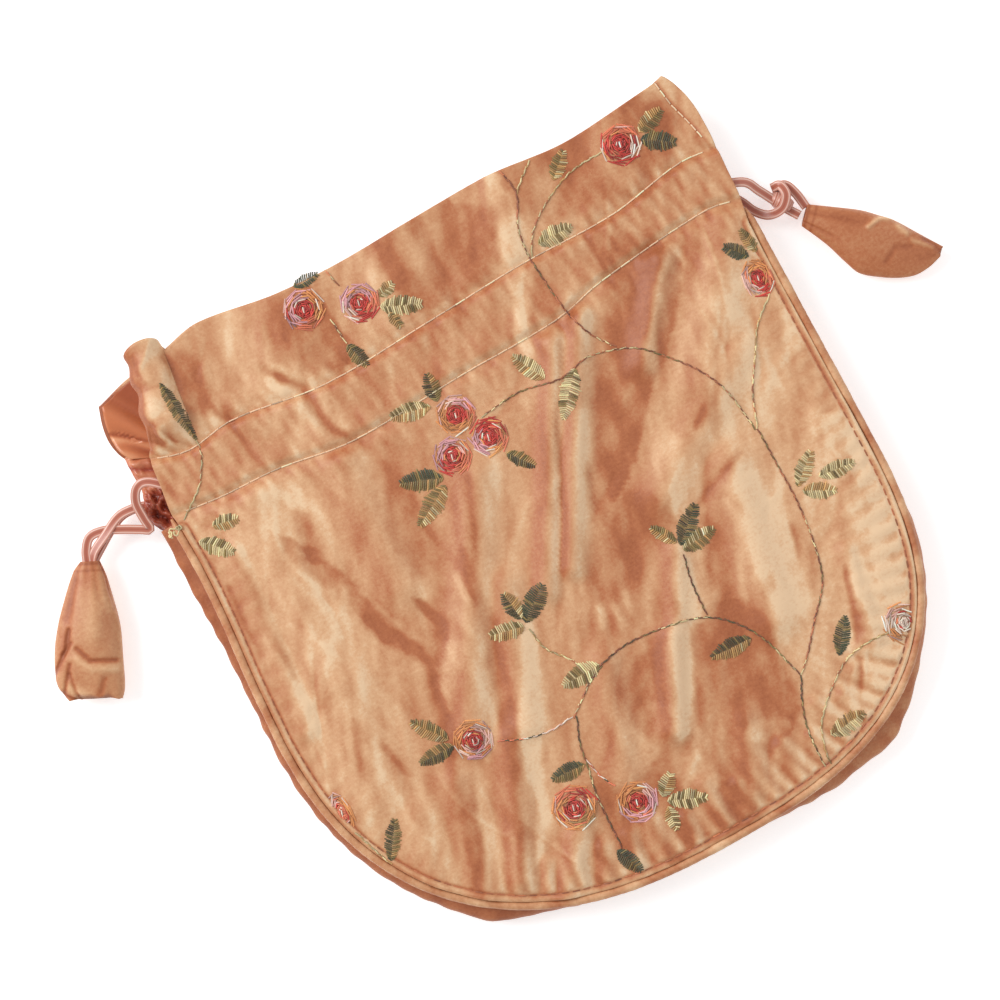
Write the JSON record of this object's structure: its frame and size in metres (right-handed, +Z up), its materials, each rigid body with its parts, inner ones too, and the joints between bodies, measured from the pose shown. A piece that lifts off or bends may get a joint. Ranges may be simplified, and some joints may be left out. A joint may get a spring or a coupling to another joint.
{
  "type": "drawstring pouch",
  "caption": "Flat drawstring pouch of embroidered silk with a ruffled header, a piped gusset, a loose lining and two ribbons that end in folded silk pods.",
  "frame": {"origin": "on the table, under the middle of the pouch's outline without its drawstrings", "axes": "+Z up from the table through the front, +Y towards the mouth, +X to the right as the front is looked at with its mouth away from the viewer"},
  "size_m": [0.2389, 0.1737, 0.0135],
  "materials": {
    "silk": "shot silk, terracotta with a golden-tan sheen, fine slubs",
    "piping": "the same silk on the bias over a cord",
    "lining": "plain orange satin, shinier than the outside",
    "ribbon": "narrow pinkish satin ribbon with paler edges",
    "pod": "the outer silk, folded, without embroidery"
  },
  "bodies": {
    "pouch": {"front_panel": "silk", "back_panel": "silk", "gusset": "silk", "front_piping": "piping", "back_piping": "piping", "front_lining": "lining", "back_lining": "lining", "gusset_lining": "lining", "right_drawstring_bend": "ribbon", "left_drawstring_bend": "ribbon"},
    "right_cord": {"right_drawstring": "ribbon", "right_pod": "pod"},
    "left_cord": {"left_drawstring": "ribbon", "left_pod": "pod"}
  },
  "joints": [
    {"name": "right_drawstring_pull", "type": "slide", "parent": "pouch", "child": "right_cord", "axis": [0.9996, 0.03, 0], "range_m": [0, 0.09]},
    {"name": "left_drawstring_pull", "type": "slide", "parent": "pouch", "child": "left_cord", "axis": [-0.9996, -0.03, 0], "range_m": [0, 0.09]}
  ]
}
